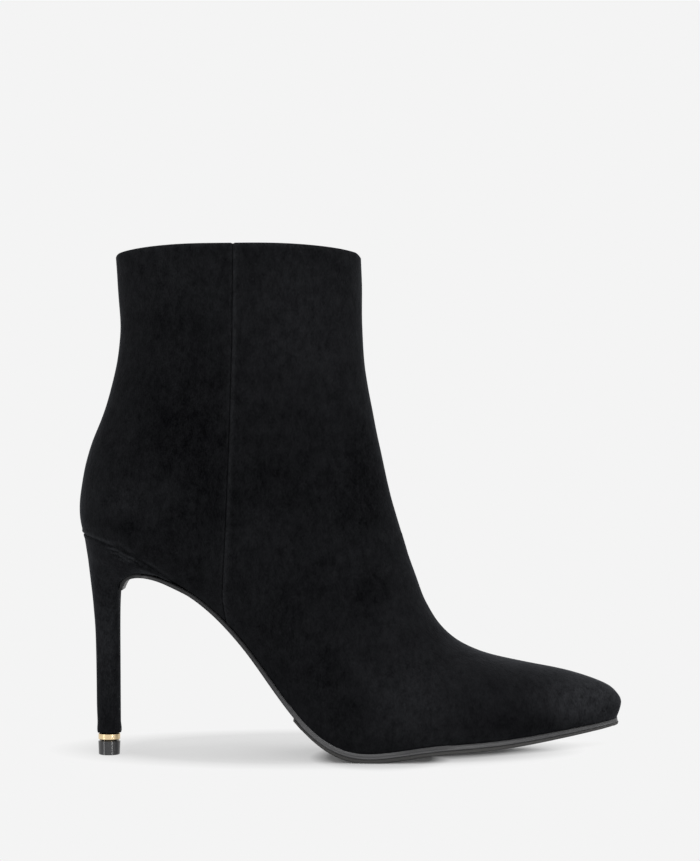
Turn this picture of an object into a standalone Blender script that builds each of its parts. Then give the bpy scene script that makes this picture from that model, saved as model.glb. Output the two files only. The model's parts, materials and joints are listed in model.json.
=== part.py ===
"""Right ankle boot on a slim covered heel: upper, insole, soles, heel, ring and top piece."""
import math
from bisect import bisect_right
from collections import namedtuple

import bmesh
import bpy

# Sizes are in millimetres. The toe points along +X, the outer side of the boot is -Y.
MM = 0.001
GAP = 0.3                # clearance between pieces that meet
WALL = 2.0               # upper: suede, backing and lining together
SIDE_SHIFT = 0.6         # centres the boot's width on Y
TOE_X = 121.4            # front end of the line where the upper meets the sole
TOE_ROUND_X = 109.0      # the toe's plan starts rounding in here
SEAT_X = -120.9          # back end of that line, at the heel
SEAT_ROUND_X = -97.0     # the heel seat's plan starts rounding in here
COLLAR_ARCH = 5.6        # the collar is this much higher at its sides than front and back
LEDGE = 0.7              # the sole stands out this far from the upper around the forepart
TIP_LEDGE = 0.4          # and this far at the very toe
LEDGE_BACK_X = -20.0     # the ledge is full from here
LEDGE_FRONT_X = 60.0     # to here
TOE_PLAN = (3.0, 0.42)   # powers that set how blunt the toe is from above
SEAT_PLAN = (2.0, 0.5)   # and the heel seat
OVERHANG_POWER = 2.5     # how low down the upper's side draws in to the sole
SOLE_BEVEL = 0.5
FLAP_BEVEL = 0.4         # where the outsole turns down the heel breast
TREAD_BEVEL = 0.35
TREAD_INSET = 0.3        # the forepart layer lies this far inside the outsole's edge
BEVEL_SHARE = 0.3        # a bevel takes no more than this share of a thickness
INSOLE_THICK = 2.0
INSOLE_INSET = 2.9
INSOLE_TOE_INSET = 3.3
TREAD_BACK_X = -22.4     # the step behind the ball
TIP_X = -109.2           # middle of the heel's foot
TIP_HEIGHT = 6.5
TIP_TOP_RADIUS = 4.75
TIP_FOOT_RADIUS = 4.5
RING_HEIGHT = 2.8
RING_RADIUS = 4.85
SPIGOT_RADIUS = 3.5
CHAMFER = 0.3            # on the ring and the top piece

STEPS_PER_ROW = 2        # sections worked out between two rows of a table
BACK_COLUMNS = 7         # points from the sole or back seam to the widest place
FRONT_COLUMNS = 8        # points from the widest place to the front line
OUTSOLE_STEPS = 44       # sections along each sole piece
TREAD_STEPS = 40
INSOLE_STEPS = 36
HEEL_POINTS = 32         # points around the heel, the ring and the top piece
JOIN_DISTANCE = 0.02     # points closer than this are one
SMOOTH_ANGLE = 35.0      # edges sharper than this, in degrees, stay crisp

# Colour, roughness and metallic value of each finish.
LOOKS = {
    "black_suede": ((0.012, 0.012, 0.014), 0.95, 0.0),
    "heel_suede": ((0.012, 0.012, 0.014), 0.95, 0.0),
    "insole_leather": ((0.03, 0.028, 0.027), 0.7, 0.0),
    "sole_edge": ((0.05, 0.05, 0.055), 0.5, 0.0),
    "tread_rubber": ((0.035, 0.034, 0.034), 0.6, 0.0),
    "gold_metal": ((0.83, 0.6, 0.28), 0.25, 1.0),
    "top_piece_black": ((0.02, 0.02, 0.022), 0.3, 0.0),
}

# The line where the upper meets the sole and the heel seat.
# x and z along the boot, half: half width before the ends round in, swing: centre, + inwards.
Feather = namedtuple("Feather", "x z half swing")
FEATHER = [
    Feather(-120.9, 100.6, 21.0, 0.0),
    Feather(-109.5, 96.6, 21.1, 0.0),
    Feather(-96.0, 90.4, 21.2, 0.0),
    Feather(-84.0, 82.9, 21.2, -0.3),
    Feather(-75.0, 77.4, 21.0, -0.6),
    Feather(-66.0, 71.4, 21.0, -1.0),
    Feather(-56.0, 62.6, 21.2, -1.4),
    Feather(-44.0, 49.0, 22.4, -1.9),
    Feather(-32.0, 32.4, 24.6, -2.2),
    Feather(-23.0, 20.6, 26.6, -2.3),
    Feather(-16.0, 13.4, 28.4, -2.3),
    Feather(-9.0, 8.4, 30.2, -2.2),
    Feather(-2.0, 5.3, 31.8, -2.0),
    Feather(8.0, 4.0, 33.6, -1.7),
    Feather(22.0, 5.4, 34.7, -1.2),
    Feather(33.0, 7.0, 34.5, -0.9),
    Feather(46.0, 8.1, 33.4, -0.5),
    Feather(60.0, 8.9, 30.9, 0.0),
    Feather(76.0, 10.4, 26.4, 0.5),
    Feather(94.0, 12.8, 19.8, 1.0),
    Feather(108.0, 14.9, 14.2, 1.4),
    Feather(121.4, 17.1, 8.6, 1.6),
]

# Sections of the upper over the foot, toe to heel seat. Each runs from the front line
# (front_x, front_z) to the feather at base_x. half: half width at the widest place,
# widest: how far up from the base that is, crown and heel: roundness at front and back.
Section = namedtuple("Section", "front_x front_z base_x base_z half swing widest crown heel")
FOOT = [
    Section(122.8, 23.6, 121.4, None, 0.0, 1.6, 0.40, 2.2, 2.0),
    Section(122.6, 25.8, 121.0, None, 4.9, 1.6, 0.40, 2.2, 2.0),
    Section(121.3, 28.2, 119.5, None, 8.0, 1.6, 0.40, 2.2, 2.0),
    Section(118.2, 31.2, 116.3, None, 11.0, 1.6, 0.38, 2.2, 2.0),
    Section(111.5, 34.3, 109.5, None, 15.1, 1.5, 0.36, 2.2, 2.0),
    Section(99.0, 38.2, 96.0, None, 20.9, 1.1, 0.34, 2.2, 2.0),
    Section(84.0, 41.3, 78.0, None, 28.0, 0.6, 0.31, 2.1, 2.0),
    Section(70.0, 44.3, 57.0, None, 33.8, 0.0, 0.27, 2.0, 2.0),
    Section(58.5, 47.6, 36.0, None, 36.8, -0.6, 0.23, 1.9, 2.0),
    Section(50.0, 51.6, 16.0, None, 37.2, -1.2, 0.20, 1.8, 2.0),
    Section(43.8, 56.2, -2.0, None, 35.9, -1.6, 0.20, 1.7, 2.0),
    Section(39.0, 61.7, -16.0, None, 34.0, -1.8, 0.22, 1.7, 2.0),
    Section(35.0, 68.5, -30.0, None, 32.2, -1.7, 0.25, 1.7, 2.0),
    Section(31.5, 76.4, -48.0, None, 30.8, -1.4, 0.27, 1.7, 2.1),
    Section(28.0, 86.3, -70.0, None, 29.9, -0.9, 0.31, 1.7, 2.4),
    Section(25.6, 94.0, -92.0, None, 29.35, -0.5, 0.36, 1.8, 2.8),
    Section(24.2, 98.4, -108.0, None, 29.14, -0.3, 0.41, 1.8, 3.1),
    Section(23.6, 100.4, -117.0, None, 29.08, -0.22, 0.437, 1.8, 3.2),
    Section(23.2, 101.6, -120.9, None, 29.05, -0.2, 0.45, 1.8, 3.2),
]
# Sections of the leg, heel seat to collar, which close at the back line (base_x, base_z).
LEG = [
    FOOT[-1]._replace(base_z=100.6),
    Section(21.3, 107.8, -122.7, 107.8, 28.95, -0.1, 0.45, 1.8, 3.1),
    Section(17.9, 119.6, -122.3, 119.6, 28.8, 0.0, 0.45, 1.8, 2.9),
    Section(14.0, 137.0, -118.7, 137.0, 28.6, 0.0, 0.46, 1.8, 2.4),
    Section(10.1, 156.5, -111.3, 156.5, 28.0, 0.0, 0.48, 1.9, 2.1),
    Section(7.0, 174.5, -106.4, 174.5, 27.0, 0.0, 0.50, 2.0, 2.0),
    Section(5.6, 192.0, -104.2, 192.0, 26.3, 0.0, 0.50, 2.0, 2.0),
    Section(5.4, 209.0, -105.1, 209.0, 26.0, 0.0, 0.50, 2.0, 2.0),
    Section(4.9, 225.6, -106.3, 225.4, 26.2, 0.0, 0.50, 2.0, 2.0),
]

# The outsole's top behind the shank, where it leaves the upper and turns down the heel breast.
Breast = namedtuple("Breast", "x z half thick")
BREAST = [
    Breast(-79.2, 78.6, 20.8, 1.8),
    Breast(-84.0, 80.6, 20.2, 1.7),
    Breast(-88.6, 81.9, 19.0, 1.6),
    Breast(-93.2, 82.6, 17.2, 1.6),
    Breast(-97.6, 82.3, 15.0, 1.5),
    Breast(-100.9, 80.8, 12.8, 1.3),
    Breast(-102.8, 78.2, 11.2, 1.1),
    Breast(-103.5, 75.2, 9.8, 0.8),
]
SHANK_END_X = -72.0      # the outsole follows the upper from the toe to here

# Thickness of the two sole layers along the boot.
Layer = namedtuple("Layer", "x sole tread")
LAYERS = [
    Layer(-74.0, 1.9, 0.6),
    Layer(-24.0, 2.05, 0.65),
    Layer(-6.0, 2.1, 1.1),
    Layer(8.0, 2.2, 1.6),
    Layer(31.0, 2.2, 1.45),
    Layer(60.0, 2.15, 1.4),
    Layer(86.0, 2.0, 1.2),
    Layer(121.8, 1.65, 0.8),
]

# Heel sections from the foot up to the seat. front_power: 2 is round, higher is squarer.
HeelRow = namedtuple("HeelRow", "back_x back_z front_x front_z half front_power")
HEEL = [
    HeelRow(-114.5, 9.6, -103.9, 9.6, 5.3, 2.0),
    HeelRow(-114.6, 24.0, -104.0, 24.0, 5.35, 2.0),
    HeelRow(-114.8, 41.0, -104.1, 41.0, 5.6, 2.2),
    HeelRow(-115.2, 56.0, -104.2, 56.0, 6.3, 2.4),
    HeelRow(-115.9, 65.5, -104.2, 65.0, 7.4, 2.6),
    HeelRow(-116.5, 72.0, -104.1, 71.0, 8.8, 2.9),
    HeelRow(-117.2, 78.0, -103.85, 75.4, 10.6, 3.2),
    HeelRow(-117.9, 84.0, -103.1, 78.5, 13.0, 3.6),
    HeelRow(-118.6, 89.0, -101.1, 81.1, 15.5, 4.0),
    HeelRow(-119.4, 93.2, -97.7, 82.7, 17.8, 4.5),
    HeelRow(-120.0, 96.6, -91.0, 82.8, 19.6, 5.0),
    HeelRow(-120.4, 98.9, -84.0, 81.0, 20.6, 6.0),
    HeelRow(-120.7, 100.3, -75.5, 77.4, 21.0, 7.0),
]


def through(knots, values, at):
    """Value at `at` on a smooth cubic through the rows; the knots rise."""
    last = len(knots) - 1
    i = min(max(bisect_right(knots, at) - 1, 0), last - 1)

    def slope(k):
        lo = max(k - 1, 0)
        hi = min(k + 1, last)
        return (values[hi] - values[lo]) / (knots[hi] - knots[lo])

    span = knots[i + 1] - knots[i]
    t = (at - knots[i]) / span
    start = values[i] * (1 + 2 * t) * (1 - t) ** 2 + values[i + 1] * t * t * (3 - 2 * t)
    return start + span * (slope(i) * t * (1 - t) ** 2 - slope(i + 1) * t * t * (1 - t))


def column(rows, name):
    """One named column of a table."""
    return [getattr(row, name) for row in rows]


def feather(x, name):
    """A column of the feather table at x."""
    return through(column(FEATHER, "x"), column(FEATHER, name), x)


def outline(x, inset=0.0):
    """Half width of the feather line at x, drawn in by `inset` all round."""
    half = feather(x, "half") - inset
    toe = (x - TOE_ROUND_X) / (TOE_X - inset - TOE_ROUND_X)
    seat = (SEAT_ROUND_X - x) / (SEAT_ROUND_X - SEAT_X - inset)
    for end, (power, root) in ((toe, TOE_PLAN), (seat, SEAT_PLAN)):
        if end > 0:
            half *= max(1 - end ** power, 0.0) ** root
    return half


def layer(x, name):
    """Thickness of a sole layer at x."""
    return through(column(LAYERS, "x"), column(LAYERS, name), x)


def start_scene():
    """Empty the file and make the boot's collection."""
    for old in list(bpy.data.objects):
        bpy.data.objects.remove(old)
    boot = bpy.data.collections.new("heeled_ankle_boot")
    bpy.context.scene.collection.children.link(boot)
    return boot


def material(name, colour, roughness, metallic):
    """A plain Principled material."""
    made = bpy.data.materials.new(name)
    made.use_nodes = True
    shader = made.node_tree.nodes["Principled BSDF"]
    shader.inputs["Base Color"].default_value = (*colour, 1.0)
    shader.inputs["Roughness"].default_value = roughness
    shader.inputs["Metallic"].default_value = metallic
    return made


def loft(name, sections, boot, look):
    """A skin through equal rows of points; rows and columns that touch are joined."""
    mesh = bpy.data.meshes.new(name)
    bm = bmesh.new()
    across = len(sections[0])
    bmesh.ops.create_grid(bm, x_segments=across - 1, y_segments=len(sections) - 1, size=1)
    bm.verts.ensure_lookup_table()
    points = [point for section in sections for point in section]
    for vert, (x, y, z) in zip(bm.verts, points):
        vert.co = (x * MM, (y + SIDE_SHIFT) * MM, z * MM)
    bmesh.ops.remove_doubles(bm, verts=bm.verts, dist=JOIN_DISTANCE * MM)
    bmesh.ops.dissolve_degenerate(bm, edges=bm.edges, dist=JOIN_DISTANCE * MM / 2)
    bm.to_mesh(mesh)
    bm.free()
    return place(name, mesh, boot, look)


def place(name, mesh, boot, look):
    """Put a mesh in the boot as a named piece."""
    piece = bpy.data.objects.new(name, mesh)
    boot.objects.link(piece)
    mesh.materials.append(look)
    return piece


def cap_ends(piece):
    """Close the open ends of a tube and turn its faces outwards."""
    bm = bmesh.new()
    bm.from_mesh(piece.data)
    bmesh.ops.holes_fill(bm, edges=[e for e in bm.edges if e.is_boundary], sides=0)
    bmesh.ops.recalc_face_normals(bm, faces=bm.faces)
    bm.to_mesh(piece.data)
    bm.free()
    smooth(piece.data)


def smooth(mesh):
    """Shade a mesh smooth, its real edges apart."""
    mesh.shade_smooth()
    mesh.set_sharp_from_angle(angle=math.radians(SMOOTH_ANGLE))


def section_points(row, base_half, reach):
    """One side of an upper section, base to front line, as (share of the way, half width).

    The curve closes at the heel; a foot section stops short of that, `reach` of the way,
    and draws in to the feather there.
    """
    side = []
    overhang = row.half * (1 - reach ** row.heel) ** 0.5 - base_half
    for j in range(BACK_COLUMNS):
        left = math.sin(math.pi / 2 * (1 - j / BACK_COLUMNS))
        width = row.half * max(1 - (reach * left) ** row.heel, 0.0) ** 0.5
        side.append((row.widest * (1 - left), width - overhang * left ** OVERHANG_POWER))
    for j in range(FRONT_COLUMNS + 1):
        climb = math.sin(math.pi / 2 * j / FRONT_COLUMNS)
        width = row.half * max(1 - climb ** row.crown, 0.0) ** 0.5
        side.append((row.widest + (1 - row.widest) * climb, width))
    return side


def upper_sections():
    """Every section of the upper, toe to collar, as rows of points."""
    rows = FOOT + LEG[1:]
    corner = len(FOOT) - 1
    places = list(range(len(rows)))
    foot_places = places[:len(FOOT)]
    leg_places = places[corner:]
    sections = []
    for step in range((len(rows) - 1) * STEPS_PER_ROW + 1):
        at = step / STEPS_PER_ROW
        shape = {name: through(places, column(rows, name), at) for name in
                 ("front_x", "front_z", "half", "swing", "widest", "crown", "heel")}
        shape["half"] = max(shape["half"], 0.0)
        if at <= corner:
            base_x = through(foot_places, column(FOOT, "base_x"), at)
            base_x = max(base_x, SEAT_X)
            base_z = feather(base_x, "z")
            base_half = min(outline(base_x), shape["half"])
            base_swing = feather(base_x, "swing")
            widest_x = base_x + (shape["front_x"] - base_x) * shape["widest"]
            reach = (widest_x - base_x) / (widest_x - SEAT_X)
        else:
            base_x = through(leg_places, column(LEG, "base_x"), at)
            base_z = through(leg_places, column(LEG, "base_z"), at)
            base_half = 0.0
            base_swing = 0.0
            reach = 1.0
        row = Section(base_x=base_x, base_z=base_z, **shape)
        rise = max(at - (len(rows) - 3), 0.0) / 2
        side = section_points(row, base_half, reach)
        sections.append(place_section(row, side, base_swing, COLLAR_ARCH * rise ** 2))
    return sections


def place_section(row, side, base_swing, arch):
    """Set a section's points in space, its sides raised by `arch`."""
    outer = []
    inner = []
    for along, width in side:
        x = row.base_x + (row.front_x - row.base_x) * along
        z = row.base_z + (row.front_z - row.base_z) * along
        if row.half > 0:
            z += arch * width / row.half
        settle = min(along / row.widest, 1.0)
        swing = base_swing + (row.swing - base_swing) * settle
        outer.append((x, swing - width, z))
        inner.append((x, swing + width, z))
    return outer + inner[-2::-1]


def make_upper(boot, look):
    """The hollow shell: an outer skin given its wall on the inside."""
    upper = loft("upper", upper_sections(), boot, look)
    smooth(upper.data)
    wall = upper.modifiers.new("wall", "SOLIDIFY")
    wall.thickness = WALL * MM
    wall.offset = -1.0
    wall.use_even_offset = True
    wall.use_rim = True


def slab_section(x, z, tilt, half, swing, depth, bevel):
    """Cross-section of a sole layer hung below (x, z), square to a line tilted by `tilt`."""
    bevel = min(bevel, half * BEVEL_SHARE, depth * BEVEL_SHARE)
    ring = [
        (0.0, 0.0),
        (half - bevel, 0.0),
        (half, bevel),
        (half, depth - bevel),
        (half - bevel, depth),
        (0.0, depth),
        (bevel - half, depth),
        (-half, depth - bevel),
        (-half, bevel),
        (bevel - half, 0.0),
        (0.0, 0.0),
    ]
    return [(x - math.sin(tilt) * down, swing + side, z - math.cos(tilt) * down)
            for side, down in ring]


def lengthwise(first, last, count):
    """Places from first to last, closer together at both ends."""
    middle = (first + last) / 2
    reach = (first - last) / 2
    return [middle + reach * math.cos(math.pi * i / count) for i in range(count + 1)]


def feather_tilt(x):
    """How far the feather line leans: 0 is level, positive falls towards the toe."""
    return math.atan2(feather(x - 0.5, "z") - feather(x + 0.5, "z"), 1.0)


def ledge(x):
    """How far the sole stands out from the upper at x."""
    places = [SHANK_END_X, LEDGE_BACK_X, LEDGE_FRONT_X, TOE_X]
    return through(places, [0.0, LEDGE, LEDGE, TIP_LEDGE], x)


def below_feather(x, drop):
    """Place and lean of a point `drop` below the feather line, square to it."""
    tilt = feather_tilt(x)
    return x - math.sin(tilt) * drop, feather(x, "z") - math.cos(tilt) * drop, tilt


def outsole_sections():
    """The outsole from the toe along the shank and down the heel breast."""
    sections = []
    for x in lengthwise(TOE_X + TIP_LEDGE, SHANK_END_X, OUTSOLE_STEPS):
        half = max(outline(x, -ledge(x)), 0.0)
        swing = feather(x, "swing")
        sections.append(slab_section(*below_feather(x, GAP), half, swing,
                                     layer(x, "sole"), SOLE_BEVEL))
    line = [(SHANK_END_X, feather(SHANK_END_X, "z") - GAP)]
    line += [(row.x, row.z) for row in BREAST]
    for i, row in enumerate(BREAST):
        ahead = line[i]
        behind = line[min(i + 2, len(line) - 1)]
        tilt = math.atan2(behind[1] - ahead[1], ahead[0] - behind[0])
        swing = feather(row.x, "swing")
        sections.append(slab_section(row.x, row.z, tilt, row.half, swing, row.thick, FLAP_BEVEL))
    return sections


def tread_sections():
    """The forepart layer, pressed flat where the ball stands on the floor."""
    sections = []
    for x in lengthwise(TOE_X + TIP_LEDGE - TREAD_INSET, TREAD_BACK_X, TREAD_STEPS):
        drop = GAP + layer(x, "sole") + GAP
        half = max(outline(x, TREAD_INSET - ledge(x)), 0.0)
        swing = feather(x, "swing")
        ring = slab_section(*below_feather(x, drop), half, swing, layer(x, "tread"), TREAD_BEVEL)
        sections.append([(px, py, max(pz, 0.0)) for px, py, pz in ring])
    return sections


def insole_sections():
    """The insole, clear of the upper's wall all round."""
    sections = []
    for x in lengthwise(TOE_X - INSOLE_TOE_INSET, SEAT_X + INSOLE_INSET, INSOLE_STEPS):
        half = max(outline(x, INSOLE_INSET), 0.0)
        swing = feather(x, "swing")
        sections.append(slab_section(*below_feather(x, -INSOLE_THICK), half, swing,
                                     INSOLE_THICK, SOLE_BEVEL))
    return sections


def heel_ring_points(row, on_seat):
    """One heel section: round at the back, squarer towards the breast."""
    ring = []
    for k in range(HEEL_POINTS + 1):
        angle = 2 * math.pi * k / HEEL_POINTS
        ahead = math.cos(angle)
        side = math.sin(angle)
        power = row.front_power if ahead > 0 else 2.0
        size = (abs(ahead) ** power + abs(side) ** power) ** (-1 / power)
        along = 0.5 + 0.5 * ahead * size
        x = row.back_x + (row.front_x - row.back_x) * along
        z = row.back_z + (row.front_z - row.back_z) * along
        if on_seat:
            z = feather(x, "z") - GAP
        ring.append((x, row.half * side * size, z))
    ring[-1] = ring[0]
    return ring


def heel_sections():
    """The heel from its spigot up to the seat."""
    spigot = HEEL[0]._replace(back_x=TIP_X - SPIGOT_RADIUS, front_x=TIP_X + SPIGOT_RADIUS,
                              half=SPIGOT_RADIUS)
    low = TIP_HEIGHT + GAP
    sections = [heel_ring_points(spigot._replace(back_z=low, front_z=low), False),
                heel_ring_points(spigot, False)]
    places = list(range(len(HEEL)))
    for step in range((len(HEEL) - 1) * STEPS_PER_ROW + 1):
        at = step / STEPS_PER_ROW
        row = HeelRow(*(through(places, column(HEEL, name), at) for name in HeelRow._fields))
        sections.append(heel_ring_points(row, at == places[-1]))
    return sections


def turned(name, profile, boot, look):
    """A turned piece around the heel's foot, from its profile of (radius, height)."""
    mesh = bpy.data.meshes.new(name)
    bm = bmesh.new()
    verts = [bm.verts.new((radius * MM, 0.0, height * MM)) for radius, height in profile]
    for first, second in zip(verts, verts[1:]):
        bm.edges.new((first, second))
    bmesh.ops.remove_doubles(bm, verts=bm.verts, dist=JOIN_DISTANCE * MM)
    bm.to_mesh(mesh)
    bm.free()
    piece = place(name, mesh, boot, look)
    piece.location = (TIP_X * MM, SIDE_SHIFT * MM, 0.0)
    sweep = piece.modifiers.new("sweep", "SCREW")
    sweep.steps = HEEL_POINTS
    sweep.render_steps = HEEL_POINTS
    sweep.use_merge_vertices = True
    sweep.merge_threshold = JOIN_DISTANCE * MM
    sweep.use_smooth_shade = True


def ring_profile():
    """The metal ring, from its bore over the outside and back to the bore."""
    low = TIP_HEIGHT + GAP
    top = TIP_HEIGHT + RING_HEIGHT
    bore = SPIGOT_RADIUS + GAP
    edge = RING_RADIUS - CHAMFER
    return [(bore, top), (edge, top), (RING_RADIUS, top - CHAMFER), (RING_RADIUS, low + CHAMFER),
            (edge, low), (bore, low), (bore, top)]


def tip_profile():
    """The top piece, from the middle of its upper face to the middle of its foot."""
    return [(0.0, TIP_HEIGHT), (TIP_TOP_RADIUS - CHAMFER, TIP_HEIGHT),
            (TIP_TOP_RADIUS, TIP_HEIGHT - CHAMFER), (TIP_FOOT_RADIUS, CHAMFER),
            (TIP_FOOT_RADIUS - CHAMFER, 0.0), (0.0, 0.0)]


def main():
    """Build every piece."""
    boot = start_scene()
    looks = {name: material(name, *values) for name, values in LOOKS.items()}
    make_upper(boot, looks["black_suede"])
    cap_ends(loft("insole", insole_sections(), boot, looks["insole_leather"]))
    cap_ends(loft("outsole", outsole_sections(), boot, looks["sole_edge"]))
    cap_ends(loft("forepart_tread", tread_sections(), boot, looks["tread_rubber"]))
    cap_ends(loft("heel", heel_sections(), boot, looks["heel_suede"]))
    turned("heel_ring", ring_profile(), boot, looks["gold_metal"])
    turned("top_piece", tip_profile(), boot, looks["top_piece_black"])


main()
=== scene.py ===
"""Dresses the right ankle boot: suede upper and heel, soles, metal band, top piece and a studio."""
import json
import math
from collections import namedtuple

import bpy
import numpy as np
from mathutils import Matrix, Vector, noise

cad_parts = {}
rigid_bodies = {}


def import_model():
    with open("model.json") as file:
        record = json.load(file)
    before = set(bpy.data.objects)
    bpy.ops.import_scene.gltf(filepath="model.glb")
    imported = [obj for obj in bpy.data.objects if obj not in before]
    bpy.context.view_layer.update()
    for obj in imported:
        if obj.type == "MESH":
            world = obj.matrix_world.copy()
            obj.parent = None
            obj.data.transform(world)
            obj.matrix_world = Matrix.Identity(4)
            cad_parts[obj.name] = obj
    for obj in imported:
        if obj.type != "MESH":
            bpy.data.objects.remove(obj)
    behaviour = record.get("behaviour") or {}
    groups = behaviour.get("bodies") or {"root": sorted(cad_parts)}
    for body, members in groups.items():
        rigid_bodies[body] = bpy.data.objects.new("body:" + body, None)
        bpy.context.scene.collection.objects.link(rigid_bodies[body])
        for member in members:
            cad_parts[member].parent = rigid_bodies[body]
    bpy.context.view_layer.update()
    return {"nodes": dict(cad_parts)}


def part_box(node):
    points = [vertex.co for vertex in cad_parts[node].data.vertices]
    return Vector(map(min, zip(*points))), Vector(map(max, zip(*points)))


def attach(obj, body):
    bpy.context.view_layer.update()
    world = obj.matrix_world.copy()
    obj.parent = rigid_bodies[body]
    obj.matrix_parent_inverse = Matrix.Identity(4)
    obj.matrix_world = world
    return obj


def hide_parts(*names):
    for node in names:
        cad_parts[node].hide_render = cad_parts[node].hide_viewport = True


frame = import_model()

bl_info = {
    "name": "Heeled ankle boot",
    "version": (1, 0, 0),
    "blender": (4, 5, 0),
    "location": "3D View > Sidebar > Boot",
    "description": "Models the looks of a black suede ankle boot over its solid pieces",
    "category": "Object",
}

MM = 0.001
FAR = 1.0                       # past every end of the boot, in metres
WELD = 0.01 * MM                # points of a solid's skin this near are one point
SLIVER = 0.1 * MM               # cracks in the upper's skin up to this wide are closed
FIT_ROUNDS = 3                  # rounds that fit a soft surface to its solid
SIDE_MIDDLE = 0.6 * MM          # the boot's own middle on Y
ON_SIDE = 8 * MM                # farther than this from the middle is a side of the boot
HEEL_X = -109.2 * MM            # middle of the heel's foot along the boot

# The side seam from the collar to the sole, as (height, place along the boot) in millimetres.
SEAM_LINE = [(232.0, -52.0), (187.0, -52.3), (144.0, -53.5), (105.0, -55.1), (73.0, -56.6),
             (67.0, -55.9), (60.0, -54.2)]
SEAM_BEND = 4                   # index of the row where the seam's straight run ends
# Cuts beside the seam in millimetres, so that its roll and its groove are real shapes.
SEAM_CUTS = (0.0, 0.2, 0.42, 0.75, 1.2, 1.65, 1.95, 2.3, 3.0, 4.0)
# The heel seat's line, as (along, up) in millimetres, and the cuts above it for its gathers.
SEAT_LINE = [(-120.9, 100.6), (-84.0, 82.9)]
SEAT_CUTS = (0.35, 0.7, 1.05, 1.4, 1.75, 2.1, 2.5, 2.9, 3.4, 4.0, 4.8)

# Soft troughs in the suede, each with its line of (along, up) points in millimetres,
# its depth, its half width and the side that it is on: -1 outer, 1 inner, 0 both.
Crease = namedtuple("Crease", "line depth width side")
CREASES = [
    Crease([(27.0, 93.0), (14.0, 88.0), (-4.0, 86.0)], 0.55, 4.5, 0),
    Crease([(35.0, 72.0), (20.0, 66.0), (2.0, 65.0)], 0.45, 4.5, 0),
    Crease([(17.0, 124.0), (2.0, 119.0), (-16.0, 119.0)], 0.40, 6.0, 0),
    Crease([(52.0, 52.0), (42.0, 36.0), (36.0, 20.0)], 0.35, 5.0, 0),
    Crease([(-112.0, 152.0), (-98.0, 147.0), (-82.0, 148.0)], 0.40, 5.5, 0),
    Crease([(-30.0, 62.0), (-14.0, 48.0), (-6.0, 30.0)], 0.30, 6.0, -1),
]

# Small ridges where the suede is drawn in along the heel seat, each with a painted highlight and
# painted shade in the fold under it, in millimetres: from and to along the boot, drop below the
# seat's line, how much they wander, share of the full height and of the painted light, half width.
Gather = namedtuple("Gather", "start end drop wave height width")
GATHERS = [
    Gather(-125.0, -104.0, -1.1, 0.0, 1.4, 0.75),
    Gather(-109.0, -93.0, -2.4, 0.5, 0.5, 0.8),
    Gather(-110.0, -92.0, 0.9, 0.3, 1.0, 0.5),
    Gather(-109.0, -95.0, 2.4, 0.35, 0.9, 0.5),
    Gather(-107.0, -97.0, 3.9, 0.3, 0.7, 0.5),
    Gather(-94.0, -78.0, -1.6, 0.2, 0.6, 0.6),
]
GATHER_ENDS = 4.0               # length over which a ridge fades at each end, in millimetres
GATHER_BENDS = 0.75             # how quickly a ridge wanders, in radians to the millimetre
FOLD_PLACE = 1.7                # where the fold under a ridge lies, in half widths of the ridge
# FOLD_SHARE also sets the fold's painted shade against the ridge's painted highlight.
FOLD_SHARE = 0.4                # depth of that fold, as a share of the ridge's height

# Painted light, above 0, and painted shade, below 0, on the suede, such as the lit toe tip and the
# shaded front of the ankle, in millimetres along and up the boot.
PaintedLight = namedtuple("PaintedLight", "along up reach_along reach_up amount")
PAINTED_LIGHT = [
    PaintedLight(-25.0, 197.0, 24.0, 27.0, 0.36),
    PaintedLight(-20.0, 127.0, 24.0, 28.0, -0.32),
    PaintedLight(-24.0, 70.0, 20.0, 22.0, -0.28),
    PaintedLight(-89.0, 121.0, 20.0, 18.0, 0.35),
    PaintedLight(-81.0, 212.0, 22.0, 17.0, 0.25),
    PaintedLight(-72.0, 138.0, 24.0, 44.0, -0.60),
    PaintedLight(5.0, 123.0, 10.0, 30.0, -0.45),
    PaintedLight(9.0, 75.0, 9.0, 9.0, -0.50),
    PaintedLight(25.0, 28.5, 22.0, 18.0, 0.55),
    PaintedLight(81.0, 16.5, 18.0, 6.0, -0.65),
    PaintedLight(106.5, 27.0, 18.0, 11.0, 2.15),
    PaintedLight(2.0, 25.0, 11.0, 11.0, -0.40),
    PaintedLight(-10.0, 43.0, 9.0, 13.0, -0.40),
    PaintedLight(-101.0, 116.0, 8.0, 6.0, 0.30),
    PaintedLight(-98.0, 146.0, 5.0, 8.0, 0.25),
    PaintedLight(-102.0, 105.0, 10.0, 5.0, -0.35),
    PaintedLight(-110.0, 55.0, 9.0, 26.0, 0.60),
]

# The studio's lamps in metres and watts: place, the point each faces, width and height, power.
Lamp = namedtuple("Lamp", "name place target size power")
LAMPS = [
    Lamp("strip_left", (-1.13, -0.75, 0.13), (-0.11, 0.0, 0.06), (0.05, 0.25), 4.8),
    Lamp("strip_right", (0.59, -1.02, 0.13), (-0.11, 0.0, 0.06), (0.05, 0.25), 4.8),
    Lamp("toe_box", (1.3, -0.3, 0.8), (0.08, 0.0, 0.03), (0.8, 0.8), 13.0),
    Lamp("front_box", (0.0, -1.9, 0.8), (0.0, 0.0, 0.05), (2.4, 1.1), 17.0),
]
WHITE = 0.905                   # glow of the bare floor and of the white all round
# The camera, level and square to the outer side: place in metres, lens and sensor in millimetres.
CAMERA_PLACE = (0.0002, -1.25, 0.1472)
CAMERA_LENS = 115.0
CAMERA_SENSOR = 36.0

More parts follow.
